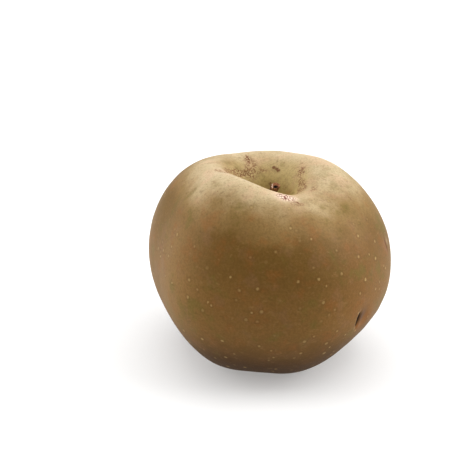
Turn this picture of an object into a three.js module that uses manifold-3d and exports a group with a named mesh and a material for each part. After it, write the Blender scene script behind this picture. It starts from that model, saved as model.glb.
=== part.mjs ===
// A whole Reinette grise du Canada apple, a large flattened russet apple, as picked: the fruit, its
// short stout stalk in the hollow at the top, and the dried calyx in the basin underneath.
// Millimetres, +Z up. It rests on the table at z = 0, and the origin is under the middle of its box.

import * as THREE from "three";
import { mergeVertices } from "three/addons/utils/BufferGeometryUtils.js";
import Module from "manifold-3d";

const wasm = await Module();
wasm.setup();

// The fruit's plain body, before its hollows and lobes.
const bodyRadius = 42.95; // at the widest level
const widestLevel = 31.9; // above the table
const shoulderRise = 40.8; // from the widest level up to the crown of the body
const baseDrop = 37.7; // and down to its lowest point
const shoulderFullness = 2.12; // 2 is an ellipse, more is squarer
const baseFullness = 1.92;
const stalkPlace = [-1.5, -1.35]; // the stalk's axis, from the middle of the lopsided fruit

// Bell-shaped hollows on the stalk's axis: how deep, how wide, and how flat at the bottom.
const cavity = { depth: 18, width: 12.7, flatness: 2.2 };
const throat = { depth: 6, width: 4.6, flatness: 1.5 };
const basin = { depth: 13.4, width: 13, flatness: 2 };

// Waves round the stalk's axis: number of crests, height, and degrees from +X to the first crest.
const girthWaves = [
  [1, 0.0385, 65],
  [2, 0.0475, -56],
  [3, 0.033, 10.5],
  [5, 0.0165, 10.5],
]; // heights are shares of the radius
const shoulderWaves = [
  [1, 1.47, 181],
  [2, 1.95, 43],
  [3, 0.86, 18],
  [5, 0.17, 13.5],
]; // heights in millimetres
const baseRibs = [[5, 0.45, 48]];
const lobePlace = 0.6; // 1 puts the shoulder's lobes midway down it, less puts them nearer the hollow

// A healed sting: a slit in the skin along the meridian, at the edge of a shallow dent. Both are
// placed in degrees, from the stalk and round from +X.
const scar = { fromStalk: 103, azimuth: 319.2, length: 5.8, width: 1.7, depth: 1 };
const scarDent = { fromStalk: 103, azimuth: 324, halfLength: 4, halfWidth: 3.4, depth: 0.8 };

// The stalk stands in a socket in the throat and leans to the right and to the front.
const stalk = { inFlesh: 3.2, length: 14, foot: 1.6, waist: 1.25, head: 1.65 };
const stalkLean = [3.6, -1.5]; // how far the top stands from the foot, along X and Y
const stalkScar = { radius: 1.1, depth: 1.1 }; // the hollow where it broke from the spur
const stalkKnobs = [
  [3, 0.09, -8],
  [5, 0.05, 0],
]; // shares of the radius, at the head

// The calyx: a cup let into the eye, five sepals on its rim and a tuft of dried stamens inside.
const cup = { outside: 3.1, inside: 2.1, inFlesh: 2.6, proud: 0.5, floorThickness: 1 };
const sepal = { length: 5.2, width: 3.2, thickness: 0.8, tipThickness: 0.6, cupping: 0.35 };
const sepalReach = [5.2, 4.4, 5.4, 4.8, 5.7]; // how far out from the axis each one's tip bends
const stamen = { count: 9, length: 3.4, radius: 0.36, ring: 1.05, lean: 0.25 };

const gap = 0.3; // between a piece and the socket that it stands in
const socketMouth = 4; // how far the tool that cuts a socket stands out of the flesh

// How finely each surface is divided, along and round it.
const fruitGrid = [46, 80];
const stalkGrid = [15, 20];
const sepalGrid = [9, 4];
const polesCloser = 0.14; // draws the fruit's rings together in its two hollows

const radians = THREE.MathUtils.degToRad;
const bell = (out, { depth, width, flatness }) => depth * Math.exp(-((out / width) ** flatness));

// The sum of several waves at an azimuth.
function waveSum(waves, azimuth) {
  const heights = waves.map(([count, height, crest]) => {
    return height * Math.cos(count * (azimuth - radians(crest)));
  });
  return heights.reduce((sum, height) => sum + height, 0);
}

// A point of the plain meridian, at angle u from the stalk: a superellipse with its ends pushed in.
function meridian(u) {
  const upper = u < Math.PI / 2;
  const power = 2 / (upper ? shoulderFullness : baseFullness);
  const out = bodyRadius * Math.abs(Math.sin(u)) ** power;
  const rise = (upper ? shoulderRise : -baseDrop) * Math.abs(Math.cos(u)) ** power;
  const hollow = upper ? -bell(out, cavity) - bell(out, throat) : bell(out, basin);
  return new THREE.Vector2(out, widestLevel + rise + hollow);
}

// How far the scar's dent draws the skin in, at a distance from the axis.
function dentDepth(u, azimuth, out) {
  const along = ((u - radians(scarDent.fromStalk)) * bodyRadius) / scarDent.halfLength;
  const across = ((azimuth - radians(scarDent.azimuth)) * out) / scarDent.halfWidth;
  return scarDent.depth * Math.exp(-(along ** 2) - across ** 2);
}

// How much of the lobes or ribs shows at angle u: none at either end and at the widest level.
function lobeShare(u) {
  const share = (2 * u) / Math.PI;
  return Math.sin(Math.PI * (share < 1 ? share ** lobePlace : share)) ** 2;
}

// A point of the skin, its azimuth between 0 and a whole turn: the meridian, pushed out by the
// girth's waves and in by the dent, with its shoulder raised by lobes and its base by ribs.
function skinPoint(u, azimuth) {
  const plain = meridian(u);
  const lobed = plain.x * (1 + waveSum(girthWaves, azimuth));
  const out = lobed - dentDepth(u, azimuth, lobed);
  const rise = waveSum(u < Math.PI / 2 ? shoulderWaves : baseRibs, azimuth);
  return new THREE.Vector3(
    stalkPlace[0] + out * Math.cos(azimuth),
    stalkPlace[1] + out * Math.sin(azimuth),
    plain.y + rise * lobeShare(u),
  );
}

// A closed geometry as a solid to join and cut, and a solid back as a geometry.
function solidOf(geometry) {
  const bare = geometry.clone();
  bare.deleteAttribute("normal");
  bare.deleteAttribute("uv");
  const merged = mergeVertices(bare, 1e-4);
  const vertProperties = new Float32Array(merged.attributes.position.array);
  const triVerts = new Uint32Array(merged.index.array);
  return new wasm.Manifold(new wasm.Mesh({ numProp: 3, vertProperties, triVerts }));
}

function geometryOf(solid) {
  const { vertProperties, triVerts } = solid.getMesh();
  const geometry = new THREE.BufferGeometry();
  geometry.setAttribute("position", new THREE.BufferAttribute(vertProperties, 3));
  geometry.setIndex(new THREE.BufferAttribute(triVerts, 1));
  geometry.computeVertexNormals();
  return geometry;
}

// The same geometry with each of its points moved by a function.
function reshaped(geometry, move) {
  const { position } = geometry.attributes;
  const point = new THREE.Vector3();
  for (let i = 0; i < position.count; i += 1) {
    move(point.fromBufferAttribute(position, i), i);
    position.setXYZ(i, point.x, point.y, point.z);
  }
  return geometry;
}

// A profile turned about +Z.
const turned = (profile, sides) => new THREE.LatheGeometry(profile, sides).rotateX(Math.PI / 2);

function fruitBody() {
  const [rings, sides] = fruitGrid;
  const angles = Array.from({ length: rings + 1 }, (_, ring) => {
    const share = 1 - ring / rings;
    return Math.PI * share - polesCloser * Math.sin(2 * Math.PI * share);
  });
  return reshaped(turned(angles.map(meridian), sides), (point, i) => {
    const side = Math.floor(i / angles.length) % sides;
    point.copy(skinPoint(angles[i % angles.length], (2 * Math.PI * side) / sides));
  });
}

// A lens set into the skin, which leaves the scar's slit when it is cut away.
function slit() {
  const [u, azimuth] = [radians(scar.fromStalk), radians(scar.azimuth)];
  const step = 0.01;
  const point = skinPoint(u, azimuth);
  const down = skinPoint(u + step, azimuth).sub(point).normalize();
  const round = skinPoint(u, azimuth + step).sub(point);
  const outwards = new THREE.Vector3().crossVectors(down, round).normalize();
  round.crossVectors(outwards, down);
  const lens = new THREE.SphereGeometry(1, 16, 10);
  lens.scale(scar.length / 2, scar.width / 2, scar.depth);
  lens.applyMatrix4(new THREE.Matrix4().makeBasis(down, round, outwards));
  return lens.translate(point.x, point.y, point.z);
}

function socket(radius, bottom, top) {
  const geometry = new THREE.CylinderGeometry(radius, radius, top - bottom, 24);
  geometry.rotateX(Math.PI / 2);
  return geometry.translate(stalkPlace[0], stalkPlace[1], (bottom + top) / 2);
}

const throatFloor = meridian(0).y;
const eye = meridian(Math.PI).y;

function fruitSolid() {
  const side = 3 * bodyRadius;
  const cuts = [
    new THREE.BoxGeometry(side, side, side).translate(0, 0, -side / 2),
    socket(stalk.foot + gap, throatFloor - stalk.inFlesh - gap, throatFloor + socketMouth),
    socket(cup.outside + gap, eye - socketMouth, eye + cup.inFlesh + gap),
    slit(),
  ];
  return cuts.reduce((solid, cut) => solid.subtract(solidOf(cut)), solidOf(fruitBody()));
}

// The stalk: a peg with a waist, knobbly and bent towards its head, with a hollow scar on the end.
function stalkSolid() {
  const [rings, sides] = stalkGrid;
  const side = new THREE.SplineCurve([
    new THREE.Vector2(stalk.foot, -stalk.inFlesh),
    new THREE.Vector2(stalk.foot * 0.93, 0),
    new THREE.Vector2(stalk.waist, stalk.length * 0.42),
    new THREE.Vector2(stalk.waist * 1.1, stalk.length * 0.68),
    new THREE.Vector2(stalk.head, stalk.length * 0.9),
    new THREE.Vector2(stalk.head * 0.93, stalk.length),
  ]);
  const end = new THREE.SplineCurve([
    new THREE.Vector2(stalkScar.radius, stalk.length),
    new THREE.Vector2(stalkScar.radius * 0.55, stalk.length - stalkScar.depth * 0.8),
    new THREE.Vector2(0, stalk.length - stalkScar.depth),
  ]);
  const foot = new THREE.Vector2(0, -stalk.inFlesh);
  const peg = turned([foot, ...side.getPoints(rings), ...end.getPoints(3)], sides);
  const bent = reshaped(peg, (point) => {
    const share = Math.max(0, point.z / stalk.length);
    const knobs = 1 + share * waveSum(stalkKnobs, Math.atan2(point.y, point.x));
    point.x = point.x * knobs + stalkLean[0] * share ** 1.6;
    point.y = point.y * knobs + stalkLean[1] * share ** 1.6;
  });
  return solidOf(bent);
}

// One sepal: a thin box bent along its spine, cupped inwards and narrowed to a point. The box's X
// runs across it, its Y from root to tip and its Z through it.
function sepalBlade(root, reach) {
  const [rows, columns] = sepalGrid;
  const spine = new THREE.CubicBezierCurve(
    new THREE.Vector2(root, -0.8),
    new THREE.Vector2(root - 0.5, sepal.length * 0.4),
    new THREE.Vector2(root - 0.8, sepal.length * 0.92),
    new THREE.Vector2(reach, sepal.length * (1.4 - 0.1 * reach)),
  );
  return reshaped(new THREE.BoxGeometry(1, 1, 1, columns, rows, 1), (point) => {
    const at = point.y + 0.5;
    const middle = spine.getPoint(at);
    const along = spine.getTangent(at);
    const thickness = THREE.MathUtils.lerp(sepal.thickness, sepal.tipThickness, at);
    const lift = point.z * thickness - sepal.cupping * (2 * point.x) ** 2;
    const width = sepal.width * Math.max(0.06, Math.sin(Math.PI * (0.34 + 0.65 * at)));
    point.set(middle.x + along.y * lift, point.x * width, middle.y - along.x * lift);
  });
}

function stamenThread(index) {
  const height = stamen.length * (1 + 0.18 * Math.cos(3.1 * index));
  const thread = new THREE.CylinderGeometry(stamen.radius * 0.75, stamen.radius, height, 6);
  thread.rotateX(Math.PI / 2).translate(0, 0, height / 2 + cup.floorThickness - cup.inFlesh - 0.3);
  thread.rotateY(stamen.lean * Math.sin(2.3 * index + 1)).translate(stamen.ring, 0, 0);
  return thread.rotateZ((2 * Math.PI * index) / stamen.count);
}

// The calyx, built with its sepals pointing up, its rim level with z = 0.
function calyxSolid() {
  const rim = (cup.outside + cup.inside) / 2;
  const floor = cup.floorThickness - cup.inFlesh;
  const cupProfile = [
    new THREE.Vector2(0, -cup.inFlesh),
    new THREE.Vector2(cup.outside, -cup.inFlesh),
    new THREE.Vector2(cup.outside, cup.proud * 0.4),
    new THREE.Vector2(rim, cup.proud),
    new THREE.Vector2(cup.inside, cup.proud * 0.2),
    new THREE.Vector2(cup.inside * 0.9, floor),
    new THREE.Vector2(0, floor),
  ];
  const sepals = sepalReach.map((reach, i) => {
    return sepalBlade(rim, reach).rotateZ((2 * Math.PI * i) / sepalReach.length);
  });
  const stamens = Array.from({ length: stamen.count }, (_, i) => stamenThread(i));
  const grown = [...sepals, ...stamens];
  return grown.reduce((solid, piece) => solid.add(solidOf(piece)), solidOf(turned(cupProfile, 25)));
}

const russet = new THREE.MeshStandardMaterial({ color: 0x9a7a48, roughness: 0.6, metalness: 0 });
const bark = new THREE.MeshStandardMaterial({ color: 0x6b4a34, roughness: 0.85, metalness: 0 });
const driedLeaf = new THREE.MeshStandardMaterial({ color: 0x5a4632, roughness: 0.9, metalness: 0 });

function named(name, solid, material) {
  const mesh = new THREE.Mesh(geometryOf(solid), material);
  mesh.name = name;
  return mesh;
}

const apple = new THREE.Group();
apple.add(named("fruit", fruitSolid(), russet));

const stalkMesh = named("stalk", stalkSolid(), bark);
stalkMesh.position.set(stalkPlace[0], stalkPlace[1], throatFloor);
apple.add(stalkMesh);

const calyxMesh = named("calyx", calyxSolid(), driedLeaf);
calyxMesh.position.set(stalkPlace[0], stalkPlace[1], eye);
calyxMesh.rotation.x = Math.PI;
apple.add(calyxMesh);

export default apple;
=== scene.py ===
import bpy
import numpy as np
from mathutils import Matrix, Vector


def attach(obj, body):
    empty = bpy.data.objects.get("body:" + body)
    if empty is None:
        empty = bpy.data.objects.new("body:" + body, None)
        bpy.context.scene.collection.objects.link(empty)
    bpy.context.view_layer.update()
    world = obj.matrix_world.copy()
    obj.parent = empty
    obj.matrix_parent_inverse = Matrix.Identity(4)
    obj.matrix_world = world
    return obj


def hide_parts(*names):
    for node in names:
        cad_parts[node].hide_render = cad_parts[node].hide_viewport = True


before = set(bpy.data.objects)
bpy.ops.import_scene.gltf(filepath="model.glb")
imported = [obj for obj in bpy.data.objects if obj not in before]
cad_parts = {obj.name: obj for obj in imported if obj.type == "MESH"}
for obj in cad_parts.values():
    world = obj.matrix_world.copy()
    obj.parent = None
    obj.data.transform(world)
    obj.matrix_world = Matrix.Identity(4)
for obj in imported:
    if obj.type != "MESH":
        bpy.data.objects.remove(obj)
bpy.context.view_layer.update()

# Skin
# The fruit is one body that grew round its core, flattened and lopsided, with a deep hollow round
# the stalk and a ribbed basin round the calyx. Its skin has turned to fine brown cork, cracked
# into scales round the hollow's lip, dotted with pale lenticels and healed over an old sting.

# Millimetres, and degrees from +X, as in the construction of the fruit.
BODY_RADIUS = 42.95
WIDEST_LEVEL = 31.9
SHOULDER_RISE = 40.8
BASE_DROP = 37.7
SHOULDER_FULLNESS = 2.12
BASE_FULLNESS = 1.92
STALK_PLACE = np.array([-1.5, -1.35])
CAVITY = (18.0, 12.7, 2.2)  # depth, width and flatness of each bell
THROAT = (6.0, 4.6, 1.5)
BASIN = (13.4, 13.0, 2.0)
# Waves round the stalk's axis: number of crests, height, and degrees from +X to the first crest.
# The girth's heights are shares of the radius.
GIRTH_WAVES = [(1, 0.0385, 65), (2, 0.0475, -56), (3, 0.033, 10.5), (5, 0.0165, 10.5)]
SHOULDER_WAVES = [(1, 1.47, 181), (2, 1.95, 43), (3, 0.86, 18), (5, 0.17, 13.5)]
BASE_RIBS = [(5, 0.45, 48)]
LOBE_PLACE = 0.6

SKIN_ROWS = 250
SKIN_COLUMNS = 390
# Where the skin's grid is closer: the place in degrees, how much denser, and the half width.
CLOSER_ROWS = [(17, 2.4, 15), (103, 1.6, 6)]
CLOSER_COLUMNS = [(319, 1.8, 8)]

# Marks on the skin: degrees from the stalk and round from +X, then the half length down the skin
# and the half width round it, in millimetres. A scaly patch also says how strongly it is cracked.
# The first three scabs make one long one.
DENT = (103, 324, 4.0, 3.4)
STING = (102.2, 319.7, 3.1, 1.1)
# Where the dent's wall beside the sting is darkened as painted shade.
STING_DENT_SHADE = (101, 322.6, 3.2, 2.3)
STING_HALO = (103.8, 324.5, 4.6, 4.2)
STING_SORE = (107.2, 321.4, 1.0, 1.1)
RIM_CREASE = (20.6, 111, 2.3, 0.34)
SCABS = [
    (15.7, 76, 0.6, 0.8),
    (15.2, 71, 0.6, 0.9),
    (14.5, 66, 0.6, 0.9),
    (10.4, 77, 0.5, 0.6),
    (15.8, 333, 0.6, 0.9),
    (31.6, 297.5, 0.6, 0.5),
]
SIDE_SCAR = (74.5, 350.3, 2.2, 0.55)
# Where a painted highlight lies beside the side scar.
SIDE_SCAR_HIGHLIGHT = (73.8, 353, 1.2, 1.0)
SCALY_PATCHES = [
    (24, 197, 1.3, 2.8, 0.95),
    (22.8, 213, 1.2, 2.4, 0.6),
    (18, 175, 1.4, 4.2, 0.8),
    (15, 152, 1.6, 4.2, 0.85),
    (13.4, 133, 1.6, 3.4, 0.95),
    (16.5, 111, 4.6, 1.9, 1.1),
    (14.6, 92, 1.3, 2.2, 0.45),
    (33, 223, 1.2, 2.0, 0.3),
    (16.4, 20, 1.8, 1.8, 0.75),
    (15, 5, 1.3, 2.4, 0.5),
    (15.2, 350, 1.6, 2.6, 0.85),
    (17.5, 338, 1.6, 2.6, 0.75),
    (24, 333, 1.2, 3.0, 0.55),
    (25.5, 9, 1.3, 2.2, 0.35),
    (32.4, 297, 1.2, 3.4, 0.5),
]
PALE_SCALES = (27.2, 289.5, 2.1, 3.3)
TAN_CHEEK = (78, 218, 34.0, 14.0)
RUDDY_CHEEK = (80, 322, 26.0, 14.0)
SCALE_SIZE = 1.15
CRACK_WIDTH = 0.19
# The relief on the fruit's form. A swell has a wavelength, a height and a random seed.
SWELLS = [(26, 0.11, 11), (8, 0.035, 12)]
DENT_DEPTH = 0.8
SLIT_DEPTH = 1.6
SORE_RISE = 0.2
SCAB_RISE = 0.12
SIDE_SCAR_DEPTH = 0.3
CRACK_DEPTH = 0.09
SCALE_RISE = 0.05
THROAT_RIBS = 23
THROAT_RIB_RISE = 0.12
# Degrees from the stalk to which the colours of the hollow's wall and floor reach.
WALL_REACH = 18.5
FLOOR_REACH = 11.8


def waves(crests, azimuth):
    """The sum of cosines round the axis, each a number of crests, a height and the first crest."""
    return sum(h * np.cos(n * (azimuth - np.radians(first))) for n, h, first in crests)


def bell(out, shape):
    """A bell: its depth times e to the minus (distance over width) to the power of its flatness."""
    depth, width, flatness = shape
    return depth * np.exp(-((out / width) ** flatness))


def body_point(u, azimuth):
    """The fruit's form at an angle u from the stalk and an azimuth, in radians: a superellipse
    turned about the stalk, its radius times 1 plus the girth's waves. Bells push its ends in, and
    lobes above or ribs below raise them, each by the squared sine of half a turn times the share of
    the way from the end to the widest level. Above, that share is raised to the power of the lobes'
    place, which moves them along the shoulder."""
    upper = u < np.pi / 2
    power = 2 / np.where(upper, SHOULDER_FULLNESS, BASE_FULLNESS)
    out = BODY_RADIUS * np.abs(np.sin(u)) ** power
    rise = np.where(upper, SHOULDER_RISE, -BASE_DROP) * np.abs(np.cos(u)) ** power
    hollow = np.where(upper, -bell(out, CAVITY) - bell(out, THROAT), bell(out, BASIN))
    lobes = np.where(upper, waves(SHOULDER_WAVES, azimuth), waves(BASE_RIBS, azimuth))
    way = 2 * u / np.pi
    shown = np.sin(np.pi * np.where(upper, np.abs(way) ** LOBE_PLACE, way)) ** 2
    out = out * (1 + waves(GIRTH_WAVES, azimuth))
    return np.stack([
        STALK_PLACE[0] + out * np.cos(azimuth),
        STALK_PLACE[1] + out * np.sin(azimuth),
        WIDEST_LEVEL + rise + hollow + lobes * shown,
    ], axis=-1)


def crowded(start, end, count, crowds):
    """Angles in radians, from start to end in degrees, that stand closer at some places: equal
    shares of a summed density, which is 1 plus a bell at each place."""
    fine = np.linspace(start, end, 6000)
    density = 1 + sum(more * np.exp(-((fine - at) / width) ** 2) for at, more, width in crowds)
    share = np.cumsum(density)
    share = (share - share[0]) / (share[-1] - share[0])
    return np.radians(np.interp(np.linspace(0, 1, count), share, fine))


def normals(points):
    """Unit normals of a grid closed along its columns: a step down crossed with a step round."""
    down = np.gradient(points, axis=0)
    wrapped = np.concatenate([points[:, -1:], points, points[:, :1]], axis=1)
    across = np.cross(down, wrapped[:, 2:] - wrapped[:, :-2])
    return across / np.linalg.norm(across, axis=-1, keepdims=True)


def patch(points, place):
    """1 at a place on the skin and less away from it: e to the minus squares of the distances down
    the skin and round it, each over its half size, and off it, over 6 millimetres."""
    from_stalk, azimuth, half_length, half_width = place[:4]
    u, turn, step = np.radians(from_stalk), np.radians(azimuth), 0.01
    middle = body_point(u, turn)
    down = body_point(u + step, turn) - middle
    down /= np.linalg.norm(down)
    beside = body_point(u, turn + step) - middle
    off = np.cross(down, beside)
    off /= np.linalg.norm(off)
    away = points - middle
    along = away @ down / half_length
    across = away @ np.cross(off, down) / half_width
    return np.exp(-along ** 2 - across ** 2 - (away @ off / 6) ** 2)


def ripples(points, wavelength, seed, count=40):
    """Smooth random hills of about unit height: plane waves of random directions and phases."""
    rng = np.random.default_rng(seed)
    directions = rng.normal(size=(count, 3))
    directions /= np.linalg.norm(directions, axis=1, keepdims=True)
    lengths = wavelength * rng.uniform(0.7, 1.5, count)
    phases = rng.uniform(0, 2 * np.pi, count)
    turns = points @ (2 * np.pi * directions / lengths[:, None]).T
    return np.sin(turns + phases).sum(-1) / count ** 0.5


def cell_edges(points, size, seed):
    """Distance over size to the edge between random cells: the way to the second nearest of
    scattered centres, one in each cube of a lattice, less the way to the nearest."""
    table = np.random.default_rng(seed).random((4096, 3))
    scaled = points / size
    corner = np.floor(scaled).astype(np.int64)
    # Primes that spread the cubes over the table.
    primes = np.array([7919, 104729, 1299709])
    ways = []
    for step in np.ndindex(3, 3, 3):
        cube = corner + np.array(step) - 1
        pick = (cube @ primes) % len(table)
        ways.append(np.linalg.norm(cube + table[pick] - scaled, axis=-1))
    ways = np.partition(np.stack(ways), 1, axis=0)
    return ways[1] - ways[0]


def closed_surface(points, start):
    """Vertices and faces of a grid closed along its columns, each end closed by a fan, where start
    is the first vertex's number. A step down the rows crossed with one along them is outwards."""
    rows, columns = points.shape[:2]
    flat = points.reshape(rows * columns, -1)
    vertices = np.concatenate([flat, points[:1].mean(1), points[-1:].mean(1)])
    here = start + np.arange(rows * columns).reshape(rows, columns)
    beside = np.roll(here, -1, axis=1)
    end = np.full(columns, start + rows * columns)
    quads = np.stack([here[:-1], here[1:], beside[1:], beside[:-1]], -1).reshape(-1, 4)
    first = np.stack([end, here[0], beside[0]], -1)
    last = np.stack([end + 1, beside[-1], here[-1]], -1)
    return vertices, quads.tolist() + first.tolist() + last.tolist()


def new_piece(name, grids, material, fields=()):
    """One smooth mesh from closed grids in millimetres. What follows a point's three coordinates
    becomes attributes with the fields' names."""
    vertices = np.empty((0, 3 + len(fields)))
    faces = []
    for grid in grids:
        more_vertices, more_faces = closed_surface(grid, len(vertices))
        vertices = np.concatenate([vertices, more_vertices])
        faces += more_faces
    mesh = bpy.data.meshes.new(name)
    mesh.from_pydata((vertices[:, :3] / 1000).tolist(), [], faces)
    for index, field in enumerate(fields):
        attribute = mesh.attributes.new(field, "FLOAT", "POINT")
        attribute.data.foreach_set("value", vertices[:, 3 + index].astype(np.float32))
    mesh.polygons.foreach_set("use_smooth", [True] * len(mesh.polygons))
    mesh.materials.append(material)
    piece = bpy.data.objects.new(name, mesh)
    bpy.context.scene.collection.objects.link(piece)
    return piece


class Value:
    """A number, vector or colour in a material. Arithmetic on numbers adds their Math nodes."""

    def __init__(self, paint, socket):
        self.paint = paint
        self.socket = socket

    def math(self, operation, *others):
        """The result of a Math node on this and other numbers."""
        inputs = dict(enumerate((self, *others)))
        return self.paint.add("ShaderNodeMath", {"operation": operation}, inputs)

    def vector(self, operation, inputs, output="Vector"):
        """The result of a Vector Math node on this, with its other inputs."""
        settings = {"operation": operation}
        return self.paint.add("ShaderNodeVectorMath", settings, {0: self, **inputs}, output)

    def __add__(self, other):
        return self.math("ADD", other)

    def __mul__(self, other):
        return self.math("MULTIPLY", other)

    def __sub__(self, other):
        return self.math("SUBTRACT", other)

    def __rsub__(self, other):
        return self * -1 + other

    __radd__ = __add__
    __rmul__ = __mul__


class Paint:
    """A material, with its Principled shader."""

    def __init__(self, name, **constants):
        self.material = bpy.data.materials.new(name)
        self.material.use_nodes = True
        self.tree = self.material.node_tree
        self.shader = self.tree.nodes["Principled BSDF"]
        for socket, value in constants.items():
            self.shader.inputs[socket.replace("_", " ")].default_value = value

    def add(self, kind, settings=None, inputs=None, output=0):
        """A new node's output, its settings made first, then the values or links of its inputs."""
        node = self.tree.nodes.new(kind)
        for name, value in (settings or {}).items():
            setattr(node, name, value)
        for name, value in (inputs or {}).items():
            if isinstance(value, Value):
                self.tree.links.new(value.socket, node.inputs[name])
            else:
                node.inputs[name].default_value = value
        return Value(self, node.outputs[output])

    def place(self):
        """The point on the piece, in millimetres."""
        return self.add("ShaderNodeTexCoord", output="Object").vector("SCALE", {"Scale": 1000})

    def part(self, vector, axis):
        """A vector's share along X, Y or Z."""
        return self.add("ShaderNodeSeparateXYZ", None, {0: vector}, axis)

    def noise(self, place, size, detail=3, roughness=0.5, shift=(0, 0, 0), stretch=(1, 1, 1)):
        """Cloudy noise from 0 to 1 whose blotches are about a size in millimetres. A shift takes
        another part of it, and a stretch below 1 along an axis draws it out."""
        place = place.vector("ADD", {1: shift}).vector("MULTIPLY", {1: stretch})
        inputs = {"Vector": place, "Scale": 1 / size, "Detail": detail, "Roughness": roughness}
        return self.add("ShaderNodeTexNoise", None, inputs)

    def step(self, value, low, high):
        """0 below low and 1 above high, smoothly between; the other way round if low is higher."""
        inputs = {"Value": value, "From Min": low, "From Max": high}
        return self.add("ShaderNodeMapRange", {"interpolation_type": "SMOOTHSTEP"}, inputs)

    def coats(self, color, *coats):
        """A colour with coats over it, each a share from 0 to 1 and a colour."""
        if not isinstance(color, Value):
            color = (*color, 1)
        # The Mix node's colours go in at sockets 6 and 7 and come out at socket 2.
        for share, coat in coats:
            inputs = {0: share, 6: color, 7: (*coat, 1)}
            color = self.add("ShaderNodeMix", {"data_type": "RGBA"}, inputs, 2)
        return color

    def field(self, name):
        """A field of the piece's mesh."""
        return self.add("ShaderNodeAttribute", {"attribute_name": name}, output="Fac")

    def finish(self, color, roughness, height, depth):
        """The material, its shader linked to a colour, a roughness and a height. The height makes a
        bump, in which a height of 1 is a depth in millimetres."""
        bump = self.add("ShaderNodeBump", None, {"Height": height, "Distance": depth / 1000})
        for name, value in (("Base Color", color), ("Roughness", roughness), ("Normal", bump)):
            self.tree.links.new(value.socket, self.shader.inputs[name])
        return self.material


def skin_grid():
    """The fruit's form moved along its normals by a relief in millimetres: low swells, the dent,
    the sting's slit with raised lips, healed scars, scales parted by cracks round the hollow's lip,
    and the throat's ribs. What would lie under the table is flattened onto it. Its fields follow."""
    u = crowded(0.35, 179.7, SKIN_ROWS, CLOSER_ROWS)[:, None]
    azimuth = crowded(0, 360, SKIN_COLUMNS + 1, CLOSER_COLUMNS)[None, :-1]
    u, azimuth = np.broadcast_arrays(u, azimuth)
    form = body_point(u, azimuth)

    pale_scales_and_highlight = patch(form, PALE_SCALES)
    scaly = pale_scales_and_highlight + sum(place[4] * patch(form, place) for place in SCALY_PATCHES)
    scaly = np.clip(scaly, 0, 1)
    broken = np.clip(0.85 + 0.7 * ripples(form, 2.2, 5), 0, 1)
    cracks = scaly * broken * np.exp(-(cell_edges(form, SCALE_SIZE, 3) / CRACK_WIDTH) ** 2)
    sting = patch(form, STING)
    halo = np.clip(patch(form, STING_HALO) + 0.5 * patch(form, STING_SORE), 0, 1)
    side_scar = patch(form, SIDE_SCAR)
    scabs = patch(form, RIM_CREASE) + sum(patch(form, place) for place in SCABS)

    upper = 1 / (1 + np.exp((u - 0.9) / 0.12))
    throat = np.exp(-((u / 0.16) ** 2))
    relief = sum(height * ripples(form, length, seed) for length, height, seed in SWELLS)
    relief += SORE_RISE * halo * (1 - sting) - SLIT_DEPTH * sting ** 1.5
    relief -= DENT_DEPTH * patch(form, DENT)
    relief += SCAB_RISE * scabs - SIDE_SCAR_DEPTH * side_scar - CRACK_DEPTH * cracks
    relief += SCALE_RISE * upper * scaly * ripples(form, 1.6, 13)
    relief += THROAT_RIB_RISE * throat * np.cos(THROAT_RIBS * azimuth + 9 * u)
    off_pole = np.clip(u / 0.03, 0, 1)
    points = form + normals(form) * (relief * off_pole)[..., None]
    points[..., 2] = np.maximum(points[..., 2], 0)

    # The pale scales, made near white with a painted highlight, and a painted highlight beside the
    # side scar.
    pale = np.clip(1.3 * pale_scales_and_highlight + 0.2 * patch(form, SIDE_SCAR_HIGHLIGHT), 0, 1)
    # Where the dent's wall is darkened as painted shade.
    dent_shade = patch(form, STING_DENT_SHADE)
    scabs = np.clip(scabs + 2 * side_scar, 0, 1)
    wall = np.exp(-((np.degrees(u) / WALL_REACH) ** 8))
    floor = np.exp(-((np.degrees(u) / FLOOR_REACH) ** 6))
    fields = [scaly, cracks, pale, sting, dent_shade, halo, scabs, wall, floor,
              patch(form, TAN_CHEEK), patch(form, RUDDY_CHEEK)]
    return np.concatenate([points, np.stack(fields, -1)], -1)


# What the last columns of the skin's grid hold.
SKIN_FIELDS = ("scaly", "cracked", "pale_scales_and_highlight", "sting", "dent_shade", "halo", "scabs",
               "wall", "floor", "tan_cheek", "ruddy_cheek")

# Linear red, green and blue, for the cork from the underside up to the floor of the hollow.
# The underside's colour is darkened as painted shade, where little light reaches under the fruit.
SHADED_UNDERSIDE = (0.088, 0.041, 0.008)
LOWER_SIDE = (0.25, 0.142, 0.04)
BELLY = (0.212, 0.126, 0.035)
SHOULDER = (0.32, 0.215, 0.088)
TOP = (0.56, 0.455, 0.29)
HOLLOW_WALL = (0.53, 0.42, 0.21)
HOLLOW_FLOOR = (0.37, 0.275, 0.1)
# For its soft cheeks, clouds, specks and grain.
TAN = (0.33, 0.205, 0.08)
RUDDY = (0.27, 0.135, 0.038)
ORANGE = (0.31, 0.13, 0.034)
OLIVE = (0.175, 0.15, 0.028)
MAUVE = (0.29, 0.165, 0.09)
PINK = (0.64, 0.44, 0.3)
PALE_SPECK = (0.4, 0.26, 0.12)
DARK_SPECK = (0.14, 0.085, 0.022)
TOP_DASH = (0.25, 0.13, 0.05)
DARK_GRAIN = (0.12, 0.065, 0.018)
PALE_GRAIN = (0.5, 0.36, 0.19)
# For its pores, scales, cracks and scars.
PORE = (0.48, 0.35, 0.16)
PORE_RING = (0.14, 0.07, 0.018)
SCALE = (0.6, 0.44, 0.28)
# Near white: the pale scales, brightened by a painted highlight.
WHITE_SCALE_HIGHLIGHT = (0.98, 0.8, 0.66)
CRACK = (0.2, 0.085, 0.035)
RED_CRACK = (0.16, 0.03, 0.02)
SORE = (0.36, 0.145, 0.035)
# Painted shade on the dent's wall beside the sting.
DENT_SHADE = (0.1, 0.05, 0.025)
SCAB = (0.17, 0.062, 0.024)
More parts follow.
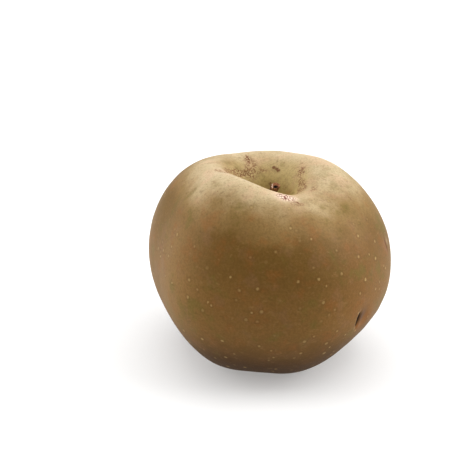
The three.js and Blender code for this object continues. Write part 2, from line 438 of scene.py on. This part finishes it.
# Near black: painted shade deep in the sting's slit.
SLIT_SHADE = (0.012, 0.005, 0.004)
# Sizes of the random cells that place the pores and draw the net of cracks.
PORE_SPACING = 6.4
NET_SPACING = 1.0


def cork_color(paint, place, level):
    """Brown, darkened underneath as painted shade, that turns pale olive upwards and into the
    hollow, over edges made cloudy by noise, with two soft cheeks and faint orange, olive, mauve and
    pink clouds, specks and dashes."""
    clouds = paint.noise(place, 17)
    blotches = paint.noise(place, 8, detail=4, roughness=0.6, shift=(40, 7, 3))
    tints = paint.noise(place, 6, roughness=0.55, shift=(3, 90, 55))
    flat = (0.8, 0.8, 1.7)
    specks = paint.noise(place, 2, detail=4, roughness=0.65, shift=(9, 60, 30), stretch=flat)
    dashes = paint.noise(place, 0.8, detail=2, roughness=0.55, stretch=(0.7, 0.7, 1.5))
    cloudy = level + 0.11 * paint.part(place, "X") + 16 * (clouds - 0.5) + 6 * (blotches - 0.5)
    # The painted shade underneath gives way to the lower side's cork.
    low = paint.step(level + 7 * (clouds - 0.5), 6.5, 27.5)
    top = paint.step(cloudy, 59.5, 69)
    body = low * (1 - 0.72 * top)
    return paint.coats(
        SHADED_UNDERSIDE,
        (low, LOWER_SIDE),
        (paint.step(cloudy, 34, 48), BELLY),
        (0.75 * paint.field("tan_cheek"), TAN),
        (0.55 * paint.field("ruddy_cheek"), RUDDY),
        (paint.step(cloudy, 53, 62), SHOULDER),
        (top, TOP),
        (paint.field("wall"), HOLLOW_WALL),
        (paint.field("floor"), HOLLOW_FLOOR),
        (0.42 * body * paint.step(blotches, 0.52, 0.7), ORANGE),
        (0.48 * body * paint.step(blotches, 0.47, 0.3), OLIVE),
        (0.28 * body * paint.step(tints, 0.53, 0.7), MAUVE),
        (0.4 * top * paint.step(tints, 0.46, 0.66), PINK),
        (0.3 * paint.step(specks, 0.56, 0.74), PALE_SPECK),
        (0.3 * paint.step(specks, 0.44, 0.28), DARK_SPECK),
        (0.4 * top * paint.step(dashes, 0.62, 0.72), TOP_DASH),
    )


def pores_and_rings(paint, place, level, grain):
    """The lenticels' pale pores and the rings round them, from 0 to 1. Space is parted into random
    cells, and a cell whose centre lies near the skin has a pore there, more often lower down. The
    distance to it along the skin is the root of the whole distance's square less the square of the
    distance off the skin. The grain frays the pore's rim."""
    normal = paint.add("ShaderNodeNewGeometry", output="Normal")
    cells = {"Vector": place, "Scale": 1 / PORE_SPACING}
    centre = paint.add("ShaderNodeTexVoronoi", None, cells, "Position")
    picks = paint.add("ShaderNodeTexVoronoi", None, cells, "Color")
    size_pick = paint.add("ShaderNodeSeparateColor", None, {0: picks}, "Red")
    strength_pick = paint.add("ShaderNodeSeparateColor", None, {0: picks}, "Green")
    away = centre.vector("SUBTRACT", {1: place})
    off = away.vector("DOT_PRODUCT", {1: normal}, "Value")
    whole = away.vector("DOT_PRODUCT", {1: away}, "Value")
    along = (whole - off * off).math("MAXIMUM", 0).math("SQRT")
    from_rim = along - (0.26 + 0.28 * size_pick) + 0.9 * (grain - 0.5)
    near = paint.step(off.math("ABSOLUTE"), 2.6, 2.3)
    present = paint.step(level + 26 * size_pick, 76, 66) * near
    pores = paint.step(from_rim, 0.34, -0.26) * present * (0.25 + 0.7 * strength_pick)
    rings = paint.step(from_rim, 1.0, 0.25) * present * (1 - pores)
    return pores, rings


def crack_net(paint, place):
    """Fine cracks, from 0 to 1: the edges of random cells, bent and broken by noise, where the
    skin is scaly."""
    wander = paint.add("ShaderNodeTexNoise", None, {"Vector": place, "Scale": 0.6}, "Color")
    bent = place.vector("ADD", {1: wander.vector("SCALE", {"Scale": 1.2})})
    cells = {"Vector": bent, "Scale": 1 / NET_SPACING}
    edge = paint.add("ShaderNodeTexVoronoi", {"feature": "DISTANCE_TO_EDGE"}, cells, "Distance")
    broken = paint.noise(place, 1.3, detail=2) + 0.1 * paint.field("pale_scales_and_highlight")
    scaly = paint.step(paint.field("scaly"), 0.12, 0.6)
    return paint.step(edge, 0.17, 0.05) * scaly * paint.step(broken, 0.36, 0.5)


def russet_paint():
    """Grained cork with pores, and the cracked scales, scabs and scars over it, with painted shade
    in the sting's slit and on the dent's wall, and a painted highlight on the pale scales.
    """
    paint = Paint("russet_skin", Specular_IOR_Level=0.3)
    place = paint.place()
    level = paint.part(place, "Z")
    grain = paint.noise(place, 0.75, roughness=0.6)
    pores, rings = pores_and_rings(paint, place, level, grain)
    net = crack_net(paint, place)
    scaly = paint.field("scaly")
    pale = paint.field("pale_scales_and_highlight")
    color = paint.coats(
        cork_color(paint, place, level),
        (0.2 * paint.step(grain, 0.6, 0.36), DARK_GRAIN),
        (0.16 * paint.step(grain, 0.56, 0.74), PALE_GRAIN),
        (0.2 * rings, PORE_RING),
        (0.8 * pores, PORE),
        (0.3 * scaly, SCALE),
        # Pale scales with a painted highlight over them.
        (0.95 * pale, WHITE_SCALE_HIGHLIGHT),
        (0.8 * net, CRACK),
        (0.3 * paint.field("cracked"), CRACK),
        (0.85 * net * pale, RED_CRACK),
        (0.5 * paint.field("halo"), SORE),
        # Painted shade on the dent's wall.
        (0.75 * paint.field("dent_shade"), DENT_SHADE),
        (0.8 * paint.step(paint.field("scabs") + 2.6 * (grain - 0.5), 0.2, 0.9), SCAB),
        # The sting's slit, painted near black as shade.
        (paint.step(paint.field("sting"), 0.28, 0.6), SLIT_SHADE),
    )
    roughness = 0.47 + 0.1 * grain + 0.12 * scaly
    height = grain + 0.5 * paint.noise(place, 0.35, detail=2) + 0.8 * pores - 1.5 * net
    return paint.finish(color, roughness, height, 0.05)


skin = new_piece("apple_skin", [skin_grid()], russet_paint(), SKIN_FIELDS)
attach(skin, "root")
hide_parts("fruit")

# Stalk
# A short, stout, woody stalk stands in the hollow and leans to the right and to the front. It is
# brown ribbed bark, thicker at both ends, with a hollow scar where it broke from the spur, painted
# black inside as shade.
STALK_FLOOR = WIDEST_LEVEL + SHOULDER_RISE - CAVITY[0] - THROAT[0]
STALK_LENGTH = 14.0
STALK_IN_FLESH = 3.2
STALK_RADII = (1.6, 1.25, 1.65)  # at the foot, the waist and the head
STALK_LEAN = np.array([3.6, -1.5])
STALK_SCAR_DEPTH = 1.1
STALK_EDGE_WEAR = 0.22
STALK_SLANT = (0.1, 0.32)  # how steeply the worn end falls to the left and to the front


def stalk_grid(rows=90, columns=72):
    """A ribbed peg carried up a bending line, its radius between foot, waist and head, its end
    worn at a slant and turned over a rim into a round-bottomed hollow. The rim is at 0.8 of the way
    up the rows, and its field says how far inside it a point is."""
    foot, waist, head = STALK_RADII
    t = np.linspace(1, 0, rows)[:, None]
    azimuth = np.linspace(0, 2 * np.pi, columns, endpoint=False)[None, :]
    rim = 0.8
    inside = np.clip((t - rim) / (1 - rim), 0, 1)
    up = np.clip(t / rim, 0, 1)
    height = -STALK_IN_FLESH + up * (STALK_LENGTH + STALK_IN_FLESH)
    share = np.clip(height / STALK_LENGTH, 0, 1)
    radius = waist + (foot - waist) * (1 - share) ** 3 + (head - waist) * share ** 5
    radius = radius - STALK_EDGE_WEAR * np.clip((share - 0.94) / 0.06, 0, 1) ** 2
    hollow = STALK_SCAR_DEPTH * np.clip(1.35 * inside, 0, 1) ** 0.8
    radius = radius * np.clip(1 - inside ** 0.9, 0.02, 1)
    knobs = 1 + share * (0.09 * np.cos(3 * azimuth + 0.4) + 0.05 * np.cos(5 * azimuth))
    ribs = 0.05 * np.cos(9 * azimuth + 1.5 * np.sin(height)) + 0.03 * np.cos(17 * azimuth - height)
    radius = radius * (knobs + ribs * (1 - inside))
    bend = share ** 1.6
    x = STALK_PLACE[0] + radius * np.cos(azimuth) + STALK_LEAN[0] * bend
    y = STALK_PLACE[1] + radius * np.sin(azimuth) + STALK_LEAN[1] * bend
    slant = STALK_SLANT[0] * np.cos(azimuth) + STALK_SLANT[1] * np.sin(azimuth)
    z = STALK_FLOOR + height - hollow + share ** 6 * radius * slant
    return np.stack([x, y, z, inside + 0 * azimuth], -1)


DARK_BARK = (0.12, 0.055, 0.028)
PALE_BARK = (0.42, 0.25, 0.15)
BROKEN_WOOD = (0.42, 0.2, 0.11)
# A painted highlight on the left of the stalk end's rim.
LEFT_EDGE_HIGHLIGHT = (0.8, 0.74, 0.64)
# Painted shade inside the stalk's hollow end.
STALK_HOLLOW_SHADE = (0.012, 0.004, 0.002)


def bark_paint():
    """Brown bark with pale lengthwise flecks, its broken end ruddy, with a painted highlight on the
    left of its edge and painted shade, black, in its hollow."""
    paint = Paint("stalk_bark", Specular_IOR_Level=0.35)
    place = paint.place()
    flecks = paint.noise(place, 0.9, detail=4, roughness=0.65, stretch=(1, 1, 0.3))
    inside = paint.field("inside")
    # The left side, where the painted highlight goes.
    left = paint.step(paint.part(place, "X"), 1.35, 0.75)
    color = paint.coats(
        DARK_BARK,
        (paint.step(flecks, 0.35, 0.68), PALE_BARK),
        (0.6 * paint.step(inside, 0.0, 0.1), BROKEN_WOOD),
        # Painted highlight on the rim's left side.
        (0.85 * left * paint.step(inside, 0.0, 0.06), LEFT_EDGE_HIGHLIGHT),
        # Black painted shade in the hollow.
        (paint.step(inside, 0.28, 0.5), STALK_HOLLOW_SHADE),
    )
    return paint.finish(color, 0.7 + 0.15 * flecks, flecks, 0.12)


stalk = new_piece("stalk_bark", [stalk_grid()], bark_paint(), ("inside",))
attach(stalk, "root")
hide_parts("stalk")

# Calyx
# What is left of the flower sits in the basin underneath: a dried cup with five brown, felted
# sepals that bend outwards, and a tuft of shrivelled stamens in the middle.
EYE_LEVEL = WIDEST_LEVEL - BASE_DROP + BASIN[0]
CUP_OUTSIDE = 3.1
CUP_INSIDE = 2.1
CUP_IN_FLESH = 2.6
SEPAL_LENGTH = 5.2
SEPAL_WIDTH = 3.2
SEPAL_HALF_THICKNESS = 0.36
SEPAL_CUPPING = 0.35
SEPAL_REACH = (5.2, 4.4, 5.4, 4.8, 5.7)
STAMENS = 13
STAMEN_LENGTH = 3.6


def hung(points):
    """Points of the calyx, made pointing up, turned over about X to hang under the eye."""
    x, y, z = points[..., 0], points[..., 1], points[..., 2]
    return np.stack([STALK_PLACE[0] + x, STALK_PLACE[1] - y, EYE_LEVEL - z], -1)


def turned_about_z(points, turn):
    """Points turned about the calyx's own axis."""
    x, y = points[..., 0], points[..., 1]
    c, s = np.cos(turn), np.sin(turn)
    return np.stack([c * x - s * y, s * x + c * y, points[..., 2]], -1)


def pulled_curve(t, points):
    """A cubic curve from the first of four points to the last, pulled towards the two between them,
    and its direction, at shares t of the way."""
    a, b, c, d = np.array(points, float)
    t = t[..., None]
    at = (1 - t) ** 3 * a + 3 * (1 - t) ** 2 * t * b + 3 * (1 - t) * t ** 2 * c + t ** 3 * d
    way = (1 - t) ** 2 * (b - a) + 2 * (1 - t) * t * (c - b) + t ** 2 * (d - c)
    return at, way / np.linalg.norm(way, axis=-1, keepdims=True)


def sepal_grid(index, rows=48, columns=40):
    """A lens-shaped section carried up a bent spine, narrowed to a point, cupped and crumpled."""
    rim = (CUP_OUTSIDE + CUP_INSIDE) / 2
    reach = SEPAL_REACH[index]
    spine = [
        (rim, -0.8),
        (rim - 0.5, 0.4 * SEPAL_LENGTH),
        (rim - 0.8, 0.92 * SEPAL_LENGTH),
        (reach, (1.4 - 0.1 * reach) * SEPAL_LENGTH),
    ]
    t = np.linspace(0, 1, rows)[:, None]
    around = np.linspace(0, 2 * np.pi, columns, endpoint=False)[None, :]
    middle, along = pulled_curve(t, spine)
    width = SEPAL_WIDTH / 2 * np.maximum(0.05, np.sin(np.pi * (0.34 + 0.65 * t)))
    side = np.cos(around) * width
    crumple = 0.13 * np.sin(5 * t + 2.4 * index) * np.sin(3 * side + index) * t
    lift = SEPAL_HALF_THICKNESS * (1 - 0.3 * t) * np.sin(around)
    lift = lift - SEPAL_CUPPING * np.cos(around) ** 2 + crumple
    out = middle[..., 0] + along[..., 1] * lift
    up = middle[..., 1] - along[..., 0] * lift
    return turned_about_z(np.stack([out, side, up], -1), 2 * np.pi * index / len(SEPAL_REACH))


def stamen_grid(index, rows=22, columns=10):
    """A thin thread, leaning out and wavering, with a small shrivelled knob at its end."""
    rng = np.random.default_rng(40 + index)
    t = np.linspace(1, 0, rows)[:, None]
    around = np.linspace(0, 2 * np.pi, columns, endpoint=False)[None, :]
    length = STAMEN_LENGTH * rng.uniform(0.75, 1.15)
    radius = 0.17 - 0.05 * t + 0.16 * np.exp(-((t - 0.93) / 0.07) ** 2)
    radius = radius * np.sqrt(np.clip(1.001 - (2 * t - 1) ** 20, 0, 1))
    root = rng.uniform(0.5, 1.35)
    out = root + rng.uniform(-0.5, 0.5) * t + 0.15 * np.sin(5 * t + index) + radius * np.cos(around)
    side = 0.2 * np.sin(4 * t + 2 * index) * t + radius * np.sin(around)
    up = -1.7 + length * t + 0 * around
    return turned_about_z(np.stack([out, side, up], -1), 2 * np.pi * index / STAMENS)


def cup_grid(columns=96):
    """The cup's section turned about the axis. It runs from the middle of the underside over the
    uneven rim to the middle of the floor, and the rows follow it backwards."""
    rim = (CUP_OUTSIDE + CUP_INSIDE) / 2
    section = np.array([
        (0.02, -CUP_IN_FLESH),
        (0.9 * CUP_OUTSIDE, -CUP_IN_FLESH),
        (CUP_OUTSIDE, -1.8),
        (CUP_OUTSIDE, 0.1),
        (rim + 0.2, 0.45),
        (rim, 0.5),
        (rim - 0.25, 0.42),
        (CUP_INSIDE, 0),
        (0.9 * CUP_INSIDE, -1.5),
        (0.02, -1.6),
    ])
    knots = np.arange(len(section))
    steps = np.linspace(len(section) - 1, 0, 60)
    out = np.interp(steps, knots, section[:, 0])[:, None]
    up = np.interp(steps, knots, section[:, 1])[:, None]
    azimuth = np.linspace(0, 2 * np.pi, columns, endpoint=False)[None, :]
    wrinkle = 1 + 0.025 * np.cos(15 * azimuth) * (up > -1)
    return np.stack([out * wrinkle * np.cos(azimuth), out * wrinkle * np.sin(azimuth),
                     up + 0 * azimuth], -1)


DARK_FELT = (0.06, 0.035, 0.02)
BROWN_FELT = (0.27, 0.19, 0.12)
GREY_FELT = (0.34, 0.29, 0.21)


def dried_paint():
    """Dry brown and grey felt."""
    paint = Paint("dried_calyx", Specular_IOR_Level=0.2, Sheen_Weight=0.3)
    place = paint.place()
    felt = paint.noise(place, 0.45, detail=4, roughness=0.65)
    broad = paint.noise(place, 2.2)
    color = paint.coats(
        DARK_FELT,
        (paint.step(felt, 0.38, 0.66), BROWN_FELT),
        (0.5 * paint.step(broad, 0.45, 0.65), GREY_FELT),
    )
    return paint.finish(color, 0.85 + 0.1 * felt, felt, 0.1)


calyx_grids = [hung(cup_grid())]
calyx_grids += [hung(sepal_grid(i)) for i in range(len(SEPAL_REACH))]
calyx_grids += [hung(stamen_grid(i)) for i in range(STAMENS)]
calyx = new_piece("calyx_remains", calyx_grids, dried_paint())
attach(calyx, "root")
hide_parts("calyx")

# Table
# A plain white surface, wide enough to fill the view. It glows a little, as in a light tent, so
# that the shadow under the fruit stays soft.
TABLE_HALF = 2.5  # metres
TABLE_GREY = 0.58
TABLE_GLOW = 0.27

table_mesh = bpy.data.meshes.new("table")
corners = [(TABLE_HALF * x, TABLE_HALF * y, 0) for x, y in ((-1, -1), (1, -1), (1, 1), (-1, 1))]
table_mesh.from_pydata(corners, [], [(0, 1, 2, 3)])
table = bpy.data.objects.new("table", table_mesh)
bpy.context.scene.collection.objects.link(table)
table_paint = Paint(
    "table_white",
    Base_Color=(TABLE_GREY, TABLE_GREY, TABLE_GREY, 1),
    Roughness=0.9,
    Specular_IOR_Level=0.1,
    Emission_Color=(1, 1, 1, 1),
    Emission_Strength=TABLE_GLOW,
)
table_mesh.materials.append(table_paint.material)

# Light and camera
# Large soft boxes stand round the table, above, at the sides and behind. None stands on the
# camera's side, so the front gets most of its light from the table and is darker than the shoulders.

# Each box has a name, a place, its width and height, all in metres, and a brightness, in watts per
# square metre and steradian. Its power is pi times its brightness times its area.
SOFT_BOXES = [
    ("overhead", (0.0, 0.0, 1.0), (1.0, 1.0), 0.95),
    ("upper_left", (-0.9, 0.0, 0.9), (0.8, 1.2), 1.08),
    ("upper_right", (0.9, 0.0, 0.9), (0.8, 1.2), 1.75),
    ("left", (-0.9, 0.1, 0.35), (1.0, 0.6), 1.15),
    ("right", (0.9, 0.1, 0.35), (1.0, 0.6), 1.38),
    ("upper_back", (0.0, 0.9, 0.9), (1.4, 0.8), 0.91),
    ("back", (0.0, 1.1, 0.4), (1.8, 0.7), 0.53),
]
SOFT_BOX_AIM = (0.0, 0.0, 0.03)
ROOM_BRIGHTNESS = 0.24
LENS = 97.65  # millimetres, like the sensor's width
SENSOR = 36.0
CAMERA_DISTANCE = 0.45  # metres, from the middle of the body
CAMERA_ELEVATION = np.radians(24.76)
# Where the middle of the body shows in the 470 pixel frame, from its centre, right and down.
BODY_SHOWS_AT = np.array([29.5, 29.8])
FRAME_PIXELS = 470

scene = bpy.context.scene
for name, place, (width, height), brightness in SOFT_BOXES:
    light = bpy.data.lights.new(name, "AREA")
    light.shape = "RECTANGLE"
    light.size = width
    light.size_y = height
    light.energy = np.pi * brightness * width * height
    lamp = bpy.data.objects.new(name, light)
    lamp.location = place
    lamp.rotation_euler = (Vector(SOFT_BOX_AIM) - Vector(place)).to_track_quat("-Z", "Y").to_euler()
    scene.collection.objects.link(lamp)

world = bpy.data.worlds.new("studio")
world.use_nodes = True
background = world.node_tree.nodes["Background"]
background.inputs["Color"].default_value = (1, 1, 1, 1)
background.inputs["Strength"].default_value = ROOM_BRIGHTNESS
scene.world = world
scene.view_settings.view_transform = "Standard"
scene.view_settings.look = "High Contrast"

body_middle = np.array([*STALK_PLACE, WIDEST_LEVEL]) / 1000
view_up = np.array([0, np.sin(CAMERA_ELEVATION), np.cos(CAMERA_ELEVATION)])
view_back = np.array([0, -np.cos(CAMERA_ELEVATION), np.sin(CAMERA_ELEVATION)])
metres_per_pixel = CAMERA_DISTANCE * SENSOR / LENS / FRAME_PIXELS
right, down = BODY_SHOWS_AT * metres_per_pixel
target = body_middle - np.array([right, 0, 0]) + down * view_up
camera = bpy.data.objects.new("camera", bpy.data.cameras.new("camera"))
camera.data.lens = LENS
camera.data.sensor_width = SENSOR
camera.data.clip_start = 0.01
camera.location = body_middle + CAMERA_DISTANCE * view_back
look = Vector(target) - camera.location
camera.rotation_euler = look.to_track_quat("-Z", "Y").to_euler()
scene.collection.objects.link(camera)
scene.camera = camera
